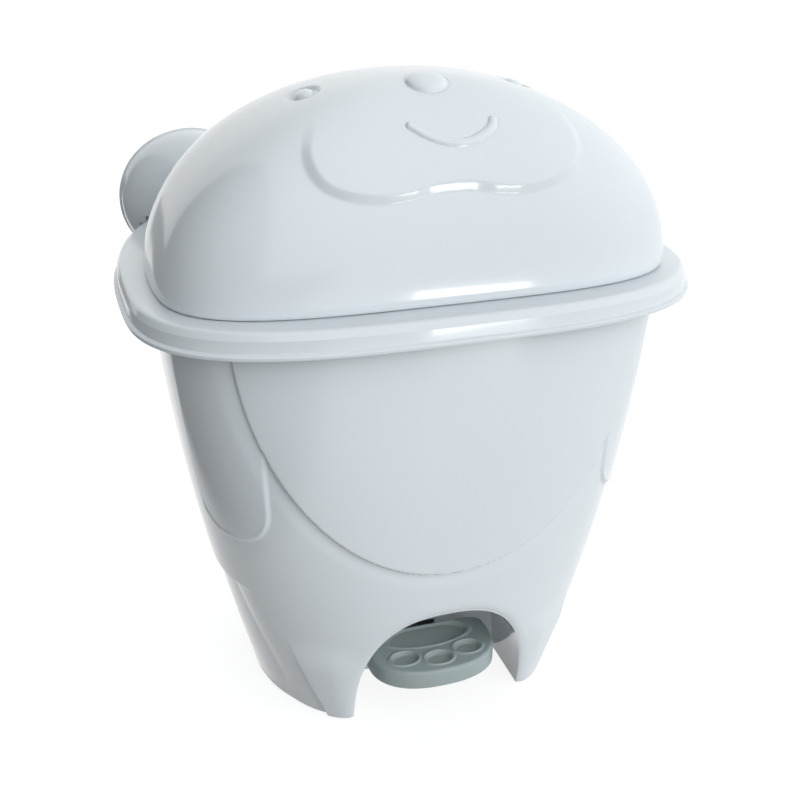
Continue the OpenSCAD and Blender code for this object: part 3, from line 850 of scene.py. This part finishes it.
@dataclass
class Shell:
    """The bear's body: belly, arms and legs in low relief, and the arch with its alcove."""

    rim: Rim
    foot: Plan = Plan(100.0, 86.0, 100.0, 2.25, 2.4)
    top: Plan = Plan(147.0, 84.0, 154.0, 3.2, 2.5)
    top_z: float = 264.3
    edge_z: float = 1.0
    bulge: tuple[float, float] = (7.5, 7.0)
    wall: float = 2.4
    arch: tuple[float, float] = (54.0, 76.0)
    arch_exp: float = 2.6
    arch_edge: tuple[float, float] = (7.0, 2.1)
    alcove_back: float = 34.0
    alcove_wall: float = 2.0
    lever_half: float = 13.0
    lever_top: float = 31.0
    belly_at: tuple[float, float] = (3.0, 270.0)
    belly_r: tuple[float, float] = (121.0, 163.5)
    belly_high: float = 2.3
    edge_w: float = 1.9
    lean: float = 2.6
    arm_turns: tuple[float, float] = (204.7, 335.3)
    mm_per_degree: float = 2.36
    arm_half: float = 26.8
    arm_round: float = 2.5
    arm_low: float = 157.5
    arm_high: float = 1.3
    leg_line: float = 91.5
    leg_deep: float = 3.9
    foot_high: float = 2.5
    columns: tuple[int, int] = (620, 150)
    rows: int = 250

    def plan(self, z: float) -> Plan:
        """Return the body's plan at height z."""
        t = z / self.top_z
        swell = 4 * t * (1 - t)
        return self.foot.towards(self.top, t).grown(self.bulge[0] * swell, self.bulge[1] * swell, 0.0)

    def arch_outline(self, grow: float = 0.0, n: int = 120) -> Array:
        """Return the arch's (x, z) outline from one foot over to the other."""
        a = np.linspace(0, math.pi, n)
        e = 2 / self.arch_exp
        c, s = np.cos(a), np.sin(a)
        x = (self.arch[0] + grow) * np.sign(c) * np.abs(c) ** e
        z = (self.arch[1] + grow) * np.abs(s) ** e
        return np.column_stack([x, z])

    def arch_prism(self, name: str, grow: float, back: float) -> bpy.types.Object:
        """Make the arch's outline into a prism from in front of the body back to y = -back."""
        half = self.arch_outline(grow, 90)
        low = [(-self.arch[0] - grow, -5.0), (self.arch[0] + grow, -5.0)]
        return Mould.prism(name, half.tolist() + low, -self.rim.plan.front - 20, -back, "y")

    def build(self) -> bpy.types.Object:
        """Build the body and dress it."""
        turns = spread_turns(*self.columns)
        heights = np.concatenate([[1.0, 1.5], np.linspace(2.5, self.top_z, self.rows)])
        outside = np.array([self.plan(z).ring(turns, z) for z in heights])
        outside[0] = self.plan(self.edge_z).inset(0.5).ring(turns, self.edge_z)
        outside = self.moulded(outside, turns)
        inner = np.linspace(self.top_z, self.edge_z, 14)
        inside = np.array([self.plan(z).inset(self.wall).ring(turns, z) for z in inner])
        body = Mould.skin("bear_body", list(outside) + list(inside), joined=True, sharp=35.0)
        block_z = np.linspace(self.edge_z, self.top_z, 24)
        coarse = spread_turns(90, 60)
        block = [self.plan(z).inset(self.wall / 2).ring(coarse, z) for z in block_z]
        alcove = self.arch_prism("alcove", self.alcove_wall, self.alcove_back - self.alcove_wall)
        Mould.join(alcove, [Mould.skin("block", block)], Join.KEEP)
        Mould.join(body, [alcove], Join.ADD)
        lever = Mould.block(
            "lever_slot",
            (-self.lever_half, -self.alcove_back - 1, -1),
            (self.lever_half, -self.alcove_back + self.alcove_wall + 1, self.lever_top),
        )
        Mould.join(body, [self.arch_prism("arch", 0.0, self.alcove_back), lever], Join.CUT, sharp=35.0)
        SHELL.dress(body)
        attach(body, "bin_body")
        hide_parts("outer_body")
        return body

    def moulded(self, grid: Array, turns: Array) -> Array:
        """Press the bear's relief into the outer skin.

        Args:
            grid: rings of points on the plain body.
            turns: the polar angle of each column.

        Returns:
            The rings with the relief.
        """
        normals = grid_normals(grid)
        x, y, z = grid[..., 0], grid[..., 1], grid[..., 2]
        belly, cover = self.belly(x, y, z)
        lift = belly + (1 - cover) * self.arms(turns, z) + self.legs(turns, z)
        fade = ease((self.top_z - 2.0 - z) / 6.0)
        moved = grid + normals * (lift * fade)[..., None]
        moved = moved + normals * self.arch_round(x, y, z)[..., None]
        moved[..., 2] = np.maximum(moved[..., 2], self.edge_z)
        return moved

    def belly(self, x: Array, y: Array, z: Array) -> tuple[Array, Array]:
        """Return the height of the belly, a raised oval that runs up under the rim, and where it lies."""
        a = np.linspace(math.pi, TAU, 220)
        (x0, z0), (rx, rz) = self.belly_at, self.belly_r
        line = np.column_stack([x0 + rx * np.cos(a), z0 + rz * np.sin(a)])
        lift, cover = np.zeros(x.shape), np.zeros(x.shape)
        near = (y < 0) & (z > 60)
        flat = np.column_stack([x[near], z[near]])
        gap = polyline_distance(flat, line)
        outline = np.vstack([line, [[x0 + rx, z0 + 30.0], [x0 - rx, z0 + 30.0]]])
        signed = np.where(inside_outline(flat, outline), gap, -gap)
        raised = ease(signed / self.edge_w + 0.5)
        groove = 0.8 * ease(1 - np.abs(signed + 1.0) / 10.0) * (signed < 0)
        high = np.clip((flat[:, 1] - 200.0) / 60.0, 0.0, 1.0) ** 2
        lean = high * np.clip(1 - (flat[:, 0] / 115.0) ** 2, 0.0, 1.0)
        lift[near] = self.belly_high * raised - groove + self.lean * lean
        cover[near] = raised
        return lift, cover

    def arms(self, turns: Array, z: Array) -> Array:
        """Return the height of the arms, which hang down each side and end in round paws."""
        degrees = np.degrees(turns) % 360
        left, right = self.arm_turns
        side = np.minimum(np.abs(degrees - left), np.abs(degrees - right))
        reach = np.broadcast_to(side * self.mm_per_degree, z.shape)
        down = np.maximum(self.arm_low - z, 0.0)
        e = self.arm_round
        edge = self.arm_half - (reach**e + down**e) ** (1 / e)
        lip = 0.5 * ease(1 - np.abs(edge - 1.2) / 1.8) * ease((down - 6.0) / 12.0)
        return self.arm_high * ease(edge / 3.0 + 0.5) + lip

    def legs(self, turns: Array, z: Array) -> Array:
        """Return the height of the legs: drawn in under the body's sides, and proud in front."""
        degrees = np.degrees(turns) % 360
        off_front = np.abs(degrees - 270.0)
        tuck = ease((off_front - 46.0 - 0.17 * z) / 20.0)
        under = ease((self.leg_line - z) / 2.0) * ease((z + 30.0) / 60.0)
        seam = off_front - (45.0 + 0.17 * z)
        foot = ease(0.5 - seam / 1.6) * ease((62.0 - z) / 22.0)
        return -self.leg_deep * tuck * under + self.foot_high * foot * ease((off_front - 30.0) / 12.0)

    def arch_round(self, x: Array, y: Array, z: Array) -> Array:
        """Return how far the skin falls in along the arch's rounded edge."""
        fall = np.zeros(x.shape)
        width, depth = self.arch_edge
        near = (y < -30) & (np.abs(x) < self.arch[0] + 10) & (z < self.arch[1] + 10)
        outline = self.arch_outline()
        outline = np.vstack([[[self.arch[0], -20.0]], outline, [[-self.arch[0], -20.0]]])
        flat = np.column_stack([x[near], z[near]])
        gap = polyline_distance(flat, outline)
        signed = np.where(inside_outline(flat, outline), 0.0, gap)
        short = np.clip(1 - signed / width, 0.0, 1.0)
        fall[near] = -depth * (1 - np.sqrt(1 - short * short))
        return fall


@dataclass
class Lid:
    """The dome with the bear's face, its ears, its hinge barrel and its push tab."""

    rim: Rim
    plan: Plan = Plan(148.5, 81.5, 130.0, 3.7, 2.15)
    rear: float = 148.0
    bottom_z: float = 267.3
    strip: float = 3.0
    height: float = 105.0
    crown_front: float = 8.0
    wall: float = 2.4
    flare_h: float = 26.0
    columns: tuple[int, int] = (360, 160)
    ear_r: float = 42.0
    ear_at: tuple[float, float, float] = (102.5, 146.0, 270.5)
    ear_swell: float = 36.0
    ear_depth: float = 14.0
    ear_edge_r: float = 6.0
    ear_drop_r: float = 57.5
    ear_drop_in: float = 10.5
    ear_drop_low: float = 55.0
    ear_gap: float = 6.0
    ear_close: float = 0.3
    ear_lip: float = 1.1
    tab_angle: float = 33.0
    tab_arm: float = 24.0

    def flare(self, z: float) -> float:
        """Return how far the rear edge stands out at height z."""
        return (self.rear - self.plan.back) * max(0.0, 1 - (z - self.bottom_z) / self.flare_h) ** 2

    def dome_ring(self, climb: float, wall: float, turns: Array) -> Array:
        """Return the dome's ring at a climb angle in radians, drawn in by the wall."""
        k = math.cos(climb)
        z = self.bottom_z + self.strip + (self.height - wall) * math.sin(climb)
        plan = self.plan.inset(wall).scaled(k, self.flare(z))
        return plan.ring(turns, z, -self.crown_front * (1 - k))

    def edge_ring(self, inset: float, z: float, turns: Array) -> Array:
        """Return a ring of the upright strip at the lid's edge."""
        plan = self.plan.inset(inset)
        return plan.grown(0.0, 0.0, self.flare(z)).ring(turns, z)

    def front_point(self, x: float, z: float) -> tuple[float, float, float]:
        """Return the point of the dome's front face at x and z."""
        k = math.sqrt(max(0.0, 1 - ((z - self.bottom_z - self.strip) / self.height) ** 2))
        e = self.plan.front_exp
        share = max(0.0, 1 - abs(x / (self.plan.half_w * k)) ** e) ** (1 / e)
        return (x, -self.plan.front * k * share - self.crown_front * (1 - k), z)

    def build(self) -> bpy.types.Object:
        """Build the lid and dress it."""
        turns = spread_turns(*self.columns)
        low = np.linspace(0, math.radians(26), 24, endpoint=False)
        mid = np.linspace(math.radians(26), math.radians(82), 130, endpoint=False)
        top = np.linspace(math.radians(82), math.radians(89.5), 10)
        climbs = np.concatenate([low, mid, top])
        outside = np.array([self.dome_ring(c, 0.0, turns) for c in climbs])
        outside = self.moulded(outside)
        inner = np.radians([89.5, 84, 78, 70, 62, 54, 46, 38, 30, 22, 15, 9, 4, 0])
        inside = [self.dome_ring(c, self.wall, turns) for c in inner]
        z = self.bottom_z
        edge = [
            self.edge_ring(self.wall, z + 0.4, turns),
            self.edge_ring(self.wall - 0.3, z, turns),
            self.edge_ring(1.2, z, turns),
            self.edge_ring(0.55, z + 0.35, turns),
            self.edge_ring(0.15, z + 1.1, turns),
            self.edge_ring(0.0, z + 2.1, turns),
        ]
        lid = Mould.skin("bear_lid", inside + edge + list(outside), sharp=32.0)
        Mould.join(lid, self.ears() + self.hinge_parts(), Join.ADD, sharp=32.0)
        y, axis_z = self.rim.hinge
        length = 2 * self.rim.barrel_half + 2
        bore = Mould.round_bar("bore", (0, y, axis_z), self.rim.pin_bore_r, length, edge=0.01)
        Mould.join(lid, [bore], Join.CUT, sharp=32.0)
        SHELL.dress(lid)
        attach(lid, "lid")
        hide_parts("lid")
        return lid

    def ears(self) -> list[bpy.types.Object]:
        """Build both ears, cut where they pass the ledge."""
        made = []
        x, y, z = self.ear_at
        climbs = np.linspace(0.02, math.pi / 2, 28)
        front = [(self.ear_r * math.sin(a), -self.ear_swell * math.cos(a)) for a in climbs]
        r, lip, seam = self.ear_edge_r, self.ear_lip, 4.0
        climbs = np.linspace(0.3, math.pi - 0.3, 6)
        bead = [(self.ear_r + lip * math.sin(a), seam - lip * math.cos(a)) for a in climbs]
        back = bead + [
            (self.ear_r - r + r * math.cos(a), self.ear_depth - r + r * math.sin(a))
            for a in np.linspace(0, math.pi / 2, 7)[1:]
        ]
        profile = front + back + [(self.ear_r * 0.5, self.ear_depth), (1.0, self.ear_depth)]
        turns = np.linspace(0, TAU, 120, endpoint=False)
        for side in (-1, 1):
            at = np.array([side * x, y, z])
            grow = 1 + 0.08 * np.maximum(0.0, np.cos(turns + side * 0.7)) ** 4
            across, up = grow * np.sin(turns), grow * np.cos(turns)
            rings = [np.stack([a * across, np.full(turns.shape, b), a * up], -1) + at for a, b in profile]
            ear = Mould.skin("ear", rings)
            near = side * x
            cuts = []
            for gap, high in ((self.ear_gap, self.rim.shelf_z), (self.ear_close, self.bottom_z)):
                rim = self.rim.plan.inset(-gap).ring(spread_turns(90, 240), 0.0)[:, :2]
                cuts.append(Mould.prism("under", rim, 100.0, high, "z"))
            inner = Mould.block("inner", (min(0, near), 0, 100), (max(0, near), 300, self.bottom_z))
            drop_at = (side * (x - self.ear_drop_in), y + 100, self.rim.ledge_z - self.ear_drop_low)
            drop = Mould.round_bar("drop", drop_at, self.ear_drop_r, 300, "y", edge=0.01, n=160)
            Mould.join(ear, cuts + [inner, drop], Join.CUT)
            made.append(ear)
        return made

    def hinge_parts(self) -> list[bpy.types.Object]:
        """Build the barrel, the web that carries it and the push tab."""
        y, z = self.rim.hinge
        half, r = self.rim.barrel_half, self.rim.knuckle_r
        barrel = Mould.round_bar("barrel", (0, y, z), r, 2 * half)
        bottom, back = self.bottom_z, self.rear
        web = Mould.prism(
            "web",
            [
                (back - 10, bottom),
                (y - 0.8 * r, z - 0.5 * r),
                (y, z + r),
                (self.plan.back, bottom + 19),
                (back - 10, bottom + 8),
            ],
            -half + 0.3,
            half - 0.3,
            "x",
        )
        a = math.radians(180 + self.tab_angle)
        along, up = np.array([math.cos(a), math.sin(a)]), np.array([math.sin(a), -math.cos(a)])
        corner = np.array([y, z])
        tip, thick = corner + along * self.tab_arm, up * 4
        tab = [corner, tip, tip + thick, corner + thick]
        return [barrel, web, Mould.prism("tab", tab, -5.0, 5.0, "x")]

    def moulded(self, grid: Array) -> Array:
        """Press the bear's face into the dome.

        Args:
            grid: rings of points on the plain dome.

        Returns:
            The rings with the face.
        """
        points = grid.reshape(-1, 3)
        normals = grid_normals(grid).reshape(-1, 3)
        lift = np.zeros(len(points))
        near = (points[:, 1] < 30) & (points[:, 2] > 305)
        face = points[near]
        lift[near] = self.muzzle(face) + self.smile(face) + self.nose(face) + self.eyes(face)
        return (points + normals * lift[:, None]).reshape(grid.shape)

    def muzzle(self, points: Array) -> Array:
        """Return the height of the muzzle, a raised panel with two round cheeks."""
        half = [(66, 362), (72, 353.5), (75, 346), (74.3, 338.5), (69.5, 331.5), (60, 326.6)]
        half += [(48, 323.8), (36, 323), (24, 324), (12, 326.2), (0, 327)]
        left = [(3 - x, z) for x, z in half]
        right = [(3 + x, z) for x, z in half[:-1]][::-1]
        flat = smooth_curve(left + right, 6)
        line = np.array([self.front_point(x, z) for x, z in flat])
        gap = polyline_distance(points, line)
        outline = np.vstack([flat, [[70, 400], [-64, 400]]])
        inside = inside_outline(points[:, [0, 2]], outline)
        signed = np.where(inside, gap, -gap)
        fade = ease((363.0 - points[:, 2]) / 26.0)
        return 2.6 * np.clip(signed / 4.9 + 0.35, 0.0, 1.0) * fade

    def smile(self, points: Array) -> Array:
        """Return the height of the smile, a thin round bead."""
        points_on = [(-15.5, 355.6), (-8, 351), (0, 348), (7.5, 346.8)]
        points_on += [(15, 347.2), (23, 349.8), (28.5, 353), (30.5, 356)]
        flat = smooth_curve(points_on, 6)
        line = np.array([self.front_point(x, z) for x, z in flat])
        gap = polyline_distance(points, line)
        bead = 1.3 * np.sqrt(np.clip(1 - (gap / 2.4) ** 2, 0.0, 1.0))
        return bead - 0.25 * ease(1 - np.abs(gap - 2.6) / 1.2)

    def nose(self, points: Array) -> Array:
        """Return the height of the nose, a smooth oval."""
        away = np.hypot((points[:, 0] - 2.0) / 11.2, (points[:, 1] + 25.0) / 8.6)
        return 3.2 * np.sqrt(np.clip(1 - away**2.6, 0.0, 1.0)) - 0.4 * ease(1 - np.abs(away - 1.08) / 0.12)

    def eyes(self, points: Array) -> Array:
        """Return the height of the eyes, a bead in a shallow dish each."""
        lift = np.zeros(len(points))
        for side in (-1, 1):
            centre = np.array([side * 60.5, -7.0])
            away = np.hypot((points[:, 0] - centre[0]) / 9.2, (points[:, 1] - centre[1]) / 11.5)
            bead = np.hypot((points[:, 0] - centre[0]) / 5.4, (points[:, 1] - centre[1]) / 6.4)
            lift -= 1.7 * ease((1.0 - away) / 0.16)
            lift += 2.9 * np.sqrt(np.clip(1 - bead**2.4, 0.0, 1.0))
        return lift


@dataclass
class Tread:
    """The pedal's tread: a D-shaped block with a paw print pressed into its top."""

    half_w: float = 40.0
    front: float = 90.0
    rear: float = 42.0
    middle: float = -60.0
    top_z: float = 35.0
    thick: float = 12.0
    edge_r: float = 2.2
    columns: int = 320

    def plan(self, inset: float) -> Plan:
        """Return the tread's outline drawn in."""
        front, back = self.front + self.middle, -self.rear - self.middle
        return Plan(self.half_w - inset, front - inset, back - inset, 2.4, 6.0)

    def build(self) -> bpy.types.Object:
        """Build the tread and dress it."""
        turns = np.linspace(0, TAU, self.columns, endpoint=False)
        low, top, r = self.top_z - self.thick, self.top_z, self.edge_r
        steps = [(2.6, top - 4.0), (2.6, low), (0.5, low), (0.0, low + 0.5)]
        rings = [self.plan(inset).ring(turns, z, self.middle) for inset, z in steps]
        for a in np.linspace(0, math.pi / 2, 8):
            rings.append(self.plan(r * (1 - math.cos(a))).ring(turns, top - r + r * math.sin(a), self.middle))
        for k in np.linspace(0.985, 0.02, 66):
            ring = self.plan(r).scaled(float(k)).ring(turns, top, self.middle)
            ring[:, 2] += self.paw(ring)
            rings.append(ring)
        tread = Mould.skin("tread", rings, sharp=40.0)
        lugs, holes = [], []
        for y in (-70.0, -50.0):
            lugs.append(Mould.round_bar("lug", (0, y, (low + top) / 2 - 1), 4.5, self.thick - 4, "z"))
            depth = 2 * (self.thick - 4.5)
            holes.append(Mould.round_bar("hole", (0, y, low), 1.85, depth, "z", edge=0.01))
        Mould.join(tread, lugs, Join.ADD)
        Mould.join(tread, holes, Join.CUT)
        PEDAL.dress(tread)
        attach(tread, "pedal")
        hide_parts("pedal_tread")
        return tread

    def paw(self, points: Array) -> Array:
        """Return the height of the paw print: a broad pad and three toes, with soft lips."""
        marks = [(0.0, self.middle + 6.5, 27.0, 11.5), (0.0, self.middle - 17.5, 8.6, 6.2)]
        marks += [(side * 20.5, self.middle - 12.5, 8.6, 6.2) for side in (-1, 1)]
        height = np.zeros(len(points))
        for x, y, a, b in marks:
            away = np.hypot((points[:, 0] - x) / a, (points[:, 1] - y) / b)
            gap = (away - 1) * min(a, b)
            height -= 2.1 * ease(-gap / 1.3) - 0.8 * ease(1 - np.abs(gap - 0.7) / 1.3)
        return height


@dataclass
class Bucket:
    """The inner bucket that lifts out."""

    rim: Rim
    floor_z: float = 82.0
    wall: float = 2.0
    flange_t: float = 2.2
    foot: Plan = Plan(102.0, 62.0, 86.0, 2.6, 2.3)
    handle: tuple[float, float] = (8.0, 255.0)

    def plan(self, z: float) -> Plan:
        """Return the bucket's plan at height z."""
        low, high = self.floor_z, self.rim.shelf_z + 0.3
        return self.foot.towards(self.rim.mouth.inset(1.0), (z - low) / (high - low))

    def build(self) -> bpy.types.Object:
        """Build the bucket and dress it."""
        turns = spread_turns(150, 150)
        low, seat = self.floor_z, self.rim.shelf_z + 0.3
        top, wall = seat + self.flange_t, self.wall
        heights = np.linspace(low + 6, seat, 26)
        flange = self.rim.mouth.inset(1.0 - self.rim.shelf_w)
        mouth = self.plan(seat)
        rings = [self.foot.inset(7).ring(turns, low), self.foot.inset(3.4).ring(turns, low + 0.6)]
        rings += [self.foot.inset(1.4).ring(turns, low + 2.4)]
        rings += [self.plan(z).ring(turns, z) for z in heights]
        rings += [flange.inset(0.3).ring(turns, seat), flange.ring(turns, seat + 0.5)]
        rings += [flange.ring(turns, top - 0.7), flange.inset(0.7).ring(turns, top)]
        rings += [mouth.inset(wall - 0.9).ring(turns, top), mouth.inset(wall).ring(turns, top - 0.9)]
        rings += [self.plan(z).inset(wall).ring(turns, z) for z in heights[::-1]]
        rings += [self.foot.inset(5.5).ring(turns, low + 3.0), self.foot.inset(9).ring(turns, low + wall)]
        bucket = Mould.skin("bucket_shell", rings, sharp=34.0)
        y, z = self.handle
        end = self.plan(z).half_w - 0.5
        bosses = [Mould.round_bar("boss", (side * (end - 2.6), y, z), 4.75, 5.2) for side in (-1, 1)]
        bore = Mould.round_bar("bore", (0, y, z), 1.8, 400, edge=0.01, n=32)
        Mould.join(bucket, bosses, Join.ADD)
        Mould.join(bucket, [bore], Join.CUT, sharp=34.0)
        BUCKET.dress(bucket)
        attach(bucket, "bucket")
        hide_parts("inner_bucket")
        return bucket


@dataclass
class Works:
    """The pieces whose solids already have the right shape, and only need their finish."""

    nodes: dict[str, bpy.types.Object]
    finishes: dict[str, Finish] = field(
        default_factory=lambda: {
            "base_plate": BASE,
            "base_screws": ZINC,
            "foot_pad_front_left": RUBBER,
            "foot_pad_front_right": RUBBER,
            "foot_pad_rear_left": RUBBER,
            "foot_pad_rear_right": RUBBER,
            "rod_guide_lower": GUIDE,
            "rod_guide_upper": GUIDE,
            "hinge_pin": STEEL,
            "pedal_axle": STEEL,
            "axle_clips": CLIP,
            "lid_bumper_left": RUBBER,
            "lid_bumper_right": RUBBER,
            "pedal_lever": PEDAL,
            "tread_screws": ZINC,
            "push_rod": STEEL,
            "rod_foot": GUIDE,
            "rod_tip": GUIDE,
            "bucket_handle": STEEL,
            "handle_grip": GRIP,
        }
    )

    def build(self) -> list[str]:
        """Give each piece its finish and return the names."""
        for name, finish in self.finishes.items():
            finish.dress(self.nodes[name])
        return list(self.finishes)


def main() -> None:
    """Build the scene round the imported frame."""
    logging.basicConfig(level=logging.INFO, format="%(name)s: %(message)s")
    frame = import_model()
    Studio().build()
    rim = Rim()
    for maker in (Collar(rim), Shell(rim), Lid(rim), Tread(), Bucket(rim)):
        piece = maker.build()
        LOG.info("%s has %d faces", piece.name, len(piece.data.polygons))
    for name in Works(frame["nodes"]).build():
        LOG.info("%s keeps its solid", name)


if __name__ == "__main__":
    main()
